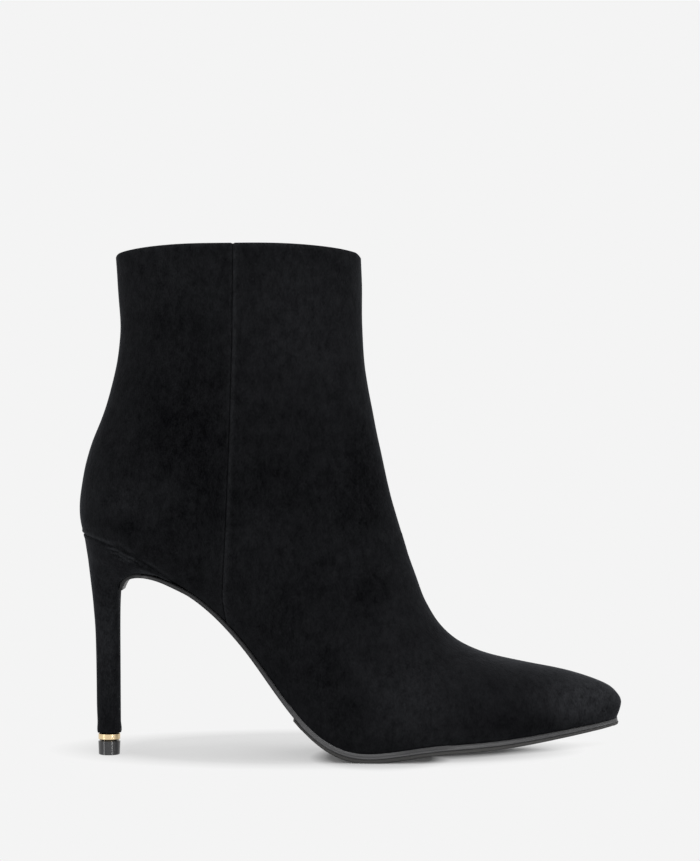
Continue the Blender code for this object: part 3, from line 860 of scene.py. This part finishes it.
class BOOT_OT_soles(bpy.types.Operator):
    """Model the insole, the outsole and the forepart layer"""

    bl_idname = "boot.soles"
    bl_label = "Soles"

    def execute(self, context):
        colours = context.scene.boot_colours
        closing = context.scene.boot_sizes.closing
        insole = self.slab("insole", "padded_insole")
        finish_piece(insole, "insole", "insole_leather", lining_look("insole_leather", colours))
        outsole = self.slab("outsole", "shaped_outsole")
        # It meets the upper over the ball, the heel behind its tongue and the layer under it.
        swell_faces(outsole, lambda centre, normal: normal.z > 0.45
                    and -26 * MM < centre.x < 44 * MM, closing)
        swell_faces(outsole, lambda centre, normal: 0.6 * normal.z - 0.8 * normal.x > 0.4
                    and -107 * MM < centre.x < -94 * MM, 2.2 * closing)
        swell_faces(outsole, lambda centre, normal: -0.9 < normal.z < -0.2
                    and centre.x > -22 * MM, closing)
        self.note_outsole_light(outsole.data)
        finish_piece(outsole, "outsole", "sole",
                     edge_look("sole_edge", colours.sole_shaded, colours.sole_highlit, (0.5, 0.38)))
        tread = self.slab("forepart_tread", "forepart_layer")
        swell_faces(tread, lambda centre, normal: abs(normal.z) < 0.4, closing)
        swell_faces(tread, lambda centre, normal: normal.z > 0.2, 1.5 * closing)
        self.feather_tread(tread.data)
        self.shade_tread(tread.data)
        finish_piece(tread, "forepart_tread", "tread",
                     edge_look("tread_rubber", colours.tread_dark, colours.tread_light, (0.66, 0.52)))
        return {"FINISHED"}

    def slab(self, node, name):
        """A sole piece with a smooth outline and crisp bevels."""
        piece = copy_of(node, name)
        keep_edges_crisp(piece, 22)
        soften(piece, 2)
        smooth_angle(piece, 30)
        return piece

    def note_outsole_light(self, mesh):
        """Note the painted light on the edge: a painted highlight along the forepart, most at its top
        that faces up and over the ball, and painted shade under the arch.
        """
        along = coordinates(mesh)[:, 0] / MM
        top = hump(below_top(mesh, 0.45), 0.0, 1.1 * MM)
        forepart = rise(along, -42.0, 26.0) * (1.0 - 0.45 * rise(along, 40.0, 40.0))
        ball = between(along, -44.0, 28.0, 16.0)
        note_light_and_shade(mesh, 0.05 + forepart * (0.26 + 0.24 * top + ball * (0.12 + 0.24 * top)))

    def feather_tread(self, mesh):
        """Thin the layer out at its rear end, where it runs into the outsole."""
        points = coordinates(mesh)
        inward = np.array((0.77, 0.0, 0.64))
        under = rise(normals(mesh) @ -inward, 0.0, 1.0)
        rear = rise(-points[:, 0], 9 * MM, 14 * MM)
        put(mesh, points + (0.42 * MM * rear * under)[:, None] * inward)

    def shade_tread(self, mesh):
        """Note how the layer darkens towards the floor, as painted shade where less light reaches it.
        """
        note_light_and_shade(mesh, 0.2 + 0.6 * hump(below_top(mesh, 0.45), 0.0, 1.0 * MM))


class BOOT_OT_heel(bpy.types.Operator):
    """Model the covered heel with the gathers under its seat"""

    bl_idname = "boot.heel"
    bl_label = "Covered heel"

    def execute(self, context):
        sizes = context.scene.boot_sizes
        heel = copy_of("heel", "covered_heel")
        keep_edges_crisp(heel, 50)
        soften(heel, 3, 0.3 * MM)
        swell_faces(heel, lambda centre, normal: normal.z > 0.6, 1.4 * sizes.closing)
        self.square_breast(heel.data, sizes)
        self.work_cover(heel.data, sizes)
        smooth_angle(heel, 50)
        finish_piece(heel, "heel", "heel_suede",
                     suede_look("heel_suede", context.scene.boot_colours, 1.25))
        return {"FINISHED"}

    def square_breast(self, mesh, sizes):
        """Bring the corners of the breast forward, flush with the tongue of the outsole."""
        points = coordinates(mesh)
        ahead = np.array((0.8, 0.0, -0.6))
        facing = rise(normals(mesh) @ ahead, 0.2, 0.3)
        out = rise(np.abs(points[:, 1] - SIDE_MIDDLE), 6 * MM, 8 * MM)
        here = between(points[:, 2], 71 * MM, 85 * MM, 3 * MM)
        here *= between(points[:, 0], -107 * MM, -86 * MM, 4 * MM)
        put(mesh, points + (sizes.breast_corner * facing * here * out ** 2)[:, None] * ahead)

    def work_cover(self, mesh, sizes):
        """Gather the cover under the seat, fill it out and lift its hem."""
        points = coordinates(mesh)
        outward = normals(mesh)
        height = points[:, 2]
        below = below_top(mesh, 0.6, 70 * MM)
        gathers, ridge_highlight_and_fold_shade = gather_relief(points[:, 0], below, sizes.gather)
        gathers += sizes.heel_fill * between(below, -4 * MM, 2.6 * MM, 2 * MM)
        gathers *= outward[:, 2] < 0.5
        moved = points + outward * gathers[:, None]
        behind = rise(-outward[:, 0], 0.0, 0.6)
        moved[:, 0] -= sizes.heel_fill * behind * between(height, 12 * MM, 96 * MM, 12 * MM)
        put(mesh, moved + self.hem_lift(points, sizes))
        # The cover notes the painted highlight and shade of its gathers and the table's painted light
        # and shade.
        note_light_and_shade(mesh, ridge_highlight_and_fold_shade + painted_light_tone(points))

    def hem_lift(self, points, sizes):
        """How the cover's hem stands out, unevenly, and sits higher above the band."""
        height = points[:, 2]
        band_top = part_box("heel_ring")[1][2]
        hem_z = band_top + 0.3 * MM
        spoke = points[:, :2] - np.array((HEEL_X, SIDE_MIDDLE))
        radius = np.linalg.norm(spoke, axis=1)
        turn = np.arctan2(spoke[:, 1], spoke[:, 0])
        wavy = 1.0 + 0.35 * np.sin(turn * 5) + 0.2 * np.sin(turn * 11)
        out = sizes.hem * wavy * between(height, -FAR, hem_z + 6 * MM, 4 * MM)
        out *= between(height, hem_z - 0.4 * MM, FAR, 1.4 * MM) * (radius > 4.5 * MM)
        foot = between(height, -FAR, band_top + 5 * MM, 4 * MM)
        up = sizes.taller_band * foot * (height > band_top - 0.2 * MM)
        return np.column_stack((spoke * (out / np.maximum(radius, MM))[:, None], up))


class BOOT_OT_heel_foot(bpy.types.Operator):
    """Model the metal band and the top piece at the heel's foot"""

    bl_idname = "boot.heel_foot"
    bl_label = "Band and top piece"

    def execute(self, context):
        sizes = context.scene.boot_sizes
        colours = context.scene.boot_colours
        band = self.turned("heel_ring", "metal_band", 22, sizes.band_fill)
        points = coordinates(band.data)
        low = points[:, 2].min()
        points[:, 2] += sizes.taller_band * (points[:, 2] - low) / np.ptp(points[:, 2])
        put(band.data, points)
        smooth_angle(band, 30)
        finish_piece(band, "heel_ring", "gold_metal", metal_look("gold_metal", colours.metal))
        tip = self.turned("top_piece", "glossy_top_piece", 30, sizes.tip_fill)
        smooth_angle(tip, 30)
        finish_piece(tip, "top_piece", "top_piece",
                     gloss_look("top_piece_gloss", colours.top_piece))
        return {"FINISHED"}

    def turned(self, node, name, crisp, fill):
        """A round piece with crisp rims, and a wall that stands out a little from its solid."""
        piece = copy_of(node, name)
        keep_edges_crisp(piece, crisp)
        soften(piece, 2)
        swell_faces(piece, self.outer_wall, fill)
        return piece

    @staticmethod
    def outer_wall(centre, normal):
        """Whether a face is part of the upright wall that shows."""
        spoke = Vector((centre.x - HEEL_X, centre.y - SIDE_MIDDLE))
        return abs(normal.z) < 0.4 and spoke.dot(normal.xy) > 0.0


class BOOT_OT_stage(bpy.types.Operator):
    """Set up the pale floor, the studio light and the camera"""

    bl_idname = "boot.stage"
    bl_label = "Studio"

    def execute(self, context):
        self.floor(context.scene.boot_colours)
        self.surround(context.scene)
        for row in LAMPS:
            self.lamp(context.scene, row)
        self.camera(context.scene)
        context.scene.view_settings.view_transform = "Standard"
        return {"FINISHED"}

    def floor(self, colours):
        """A wide pale floor that glows all round, and takes a shadow close to the sole."""
        bpy.ops.object.select_all(action="DESELECT")
        bpy.ops.mesh.primitive_plane_add(size=60.0, location=(0.0, 0.0, 0.0))
        floor = bpy.context.object
        floor.name = "studio_floor"
        made, tree, shader = start_material("studio_floor")
        ball = span(tree, self.oval(tree, UNDER_BALL), 0.73, 1.04, 0.0, 1.0)
        toe = span(tree, self.oval(tree, UNDER_TOE), 0.35, 1.0, 0.0, 1.0)
        boot = span(tree, self.oval(tree, UNDER_BOOT), 0.7, 1.0, 0.0, 1.0)
        glow = sums(tree, (combine(tree, "MINIMUM", ball, toe), 0.5), (boot, 0.5))
        colour = ramp(tree, glow, 0.0, 1.0, colours.floor, (0.0, 0.0, 0.0))
        tree.links.new(colour, shader.inputs["Base Color"])
        tree.links.new(span(tree, glow, 0.0, 1.0, 0.04, WHITE), shader.inputs["Emission Strength"])
        shader.inputs["Roughness"].default_value = 0.9
        shader.inputs["Specular IOR Level"].default_value = 0.0
        shader.inputs["Emission Color"].default_value = (1.0, 1.0, 1.0, 1.0)
        floor.data.materials.append(made)

    def oval(self, tree, shade):
        """How far a place is from the middle of an oval shade, 1 at its edge."""
        place = tree.nodes.new("ShaderNodeTexCoord")
        mapping = tree.nodes.new("ShaderNodeMapping")
        mapping.vector_type = "TEXTURE"
        x, y = shade.middle
        half_length, half_width = shade.radii
        mapping.inputs["Location"].default_value = (x * MM, y * MM, 0.0)
        mapping.inputs["Rotation"].default_value = (0.0, 0.0, math.radians(shade.turn))
        mapping.inputs["Scale"].default_value = (half_length * MM, half_width * MM, 1.0)
        reach = tree.nodes.new("ShaderNodeVectorMath")
        reach.operation = "LENGTH"
        tree.links.new(place.outputs["Object"], mapping.inputs["Vector"])
        tree.links.new(mapping.outputs["Vector"], reach.inputs[0])
        return reach.outputs["Value"]

    def surround(self, scene):
        """Even white light from all round, stronger overhead."""
        world = bpy.data.worlds.new("studio")
        world.use_nodes = True
        tree = world.node_tree
        place = tree.nodes.new("ShaderNodeTexCoord")
        axes = tree.nodes.new("ShaderNodeSeparateXYZ")
        tree.links.new(place.outputs["Generated"], axes.inputs["Vector"])
        glow = span(tree, axes.outputs["Z"], 0.2, 1.0, WHITE, 1.3)
        tree.links.new(glow, tree.nodes["Background"].inputs["Strength"])
        tree.nodes["Background"].inputs["Color"].default_value = (1.0, 1.0, 1.0, 1.0)
        scene.world = world

    def lamp(self, scene, row):
        """A soft box that faces a point."""
        light = bpy.data.lights.new(row.name, "AREA")
        light.shape = "RECTANGLE"
        light.size, light.size_y = row.size
        light.energy = row.power
        lamp = bpy.data.objects.new(row.name, light)
        lamp.location = row.place
        aim = Vector(row.target) - Vector(row.place)
        lamp.rotation_euler = aim.to_track_quat("-Z", "Y").to_euler()
        scene.collection.objects.link(lamp)

    def camera(self, scene):
        """A level camera square to the boot's outer side."""
        lens = bpy.data.cameras.new("camera")
        lens.sensor_width = CAMERA_SENSOR
        lens.lens = CAMERA_LENS
        camera = bpy.data.objects.new("camera", lens)
        camera.location = CAMERA_PLACE
        camera.rotation_euler = (math.radians(90), 0.0, 0.0)
        scene.collection.objects.link(camera)
        scene.camera = camera


class BOOT_PT_pieces(bpy.types.Panel):
    """Lists the boot's pieces and their settings"""

    bl_label = "Ankle boot"
    bl_idname = "BOOT_PT_pieces"
    bl_space_type = "VIEW_3D"
    bl_region_type = "UI"
    bl_category = "Boot"

    def draw(self, context):
        for operator in OPERATORS:
            self.layout.operator(operator.bl_idname)
        for group in (context.scene.boot_sizes, context.scene.boot_colours):
            box = self.layout.box()
            for name in group.bl_rna.properties.keys():
                if name not in ("rna_type", "name"):
                    box.prop(group, name)


OPERATORS = (BOOT_OT_upper, BOOT_OT_soles, BOOT_OT_heel, BOOT_OT_heel_foot, BOOT_OT_stage)
CLASSES = (BootSizes, BootColours, *OPERATORS, BOOT_PT_pieces)


def register():
    """Make the boot's settings, operators and panel known."""
    for made in CLASSES:
        bpy.utils.register_class(made)
    bpy.types.Scene.boot_sizes = bpy.props.PointerProperty(type=BootSizes)
    bpy.types.Scene.boot_colours = bpy.props.PointerProperty(type=BootColours)


def unregister():
    """Take them away again."""
    del bpy.types.Scene.boot_colours
    del bpy.types.Scene.boot_sizes
    for made in reversed(CLASSES):
        bpy.utils.unregister_class(made)


def main():
    """Model every piece and the studio."""
    # A new file's own objects are cleared away first.
    for old in list(bpy.data.objects):
        if old.name in ("Cube", "Light", "Camera"):
            bpy.data.objects.remove(old)
    register()
    bpy.ops.boot.upper()
    bpy.ops.boot.soles()
    bpy.ops.boot.heel()
    bpy.ops.boot.heel_foot()
    bpy.ops.boot.stage()


if __name__ == "__main__":
    main()
